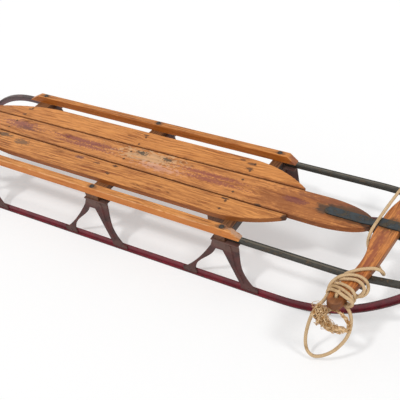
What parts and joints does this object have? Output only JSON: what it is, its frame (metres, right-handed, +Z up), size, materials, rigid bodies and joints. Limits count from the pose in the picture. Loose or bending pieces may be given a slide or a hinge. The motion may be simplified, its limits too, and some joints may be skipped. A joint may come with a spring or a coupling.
{
  "type": "steerable runner sled",
  "caption": "Long low wooden sled on steel runners that curl up at the rear, with a steel front bow, a pivoting wooden steering bar and a tow rope.",
  "frame": {"origin": "on the floor, midway between the rear of the runner curls and the front of the bow, on the centre line", "axes": "+X is the way the sled runs, +Y its left side, +Z up"},
  "size_m": [1.4821, 0.5118, 0.1717],
  "materials": {
    "deck_wood": "worn varnish",
    "rail_wood": "worn varnish",
    "bench_wood": "dark stained, dirty",
    "steering_wood": "worn varnish with a red stain",
    "runner_steel": "worn dark red paint",
    "knee_steel": "worn dark red-brown paint",
    "bow_steel": "worn dark paint",
    "strap_steel": "dark, oily",
    "brace_steel": "dark, rusty",
    "bolt_steel": "rusty",
    "rope": "twisted cotton"
  },
  "bodies": {
    "frame": {"centre_slat": "deck_wood", "left_slat": "deck_wood", "right_slat": "deck_wood", "left_side_rail": "rail_wood", "right_side_rail": "rail_wood", "rear_bench": "bench_wood", "middle_bench": "bench_wood", "front_bench": "bench_wood", "front_bench_brace": "brace_steel", "front_bow": "bow_steel", "left_runner": "runner_steel", "right_runner": "runner_steel", "rail_bolts": "bolt_steel", "pivot_bolt": "bolt_steel", "upper_pivot_strap": "strap_steel", "lower_pivot_strap": "strap_steel", "left_rear_knee": "knee_steel", "left_middle_knee": "knee_steel", "left_front_knee": "knee_steel", "right_rear_knee": "knee_steel", "right_middle_knee": "knee_steel", "right_front_knee": "knee_steel"},
    "steering": {"steering_bar": "steering_wood", "left_steering_clip": "strap_steel", "right_steering_clip": "strap_steel", "tow_rope_run": "rope", "tow_rope_wraps": "rope", "tow_rope_loop": "rope", "tow_rope_tail": "rope", "tow_rope_strand": "rope", "tow_rope_far_knot": "rope", "tow_rope_frayed_knot": "rope"}
  },
  "joints": [
    {"name": "steering_pivot", "type": "hinge", "parent": "frame", "child": "steering", "pos_m": [0.593, 0, 0.151], "axis": [0, 0, 1], "range_deg": [-6.5, 13.5]}
  ]
}
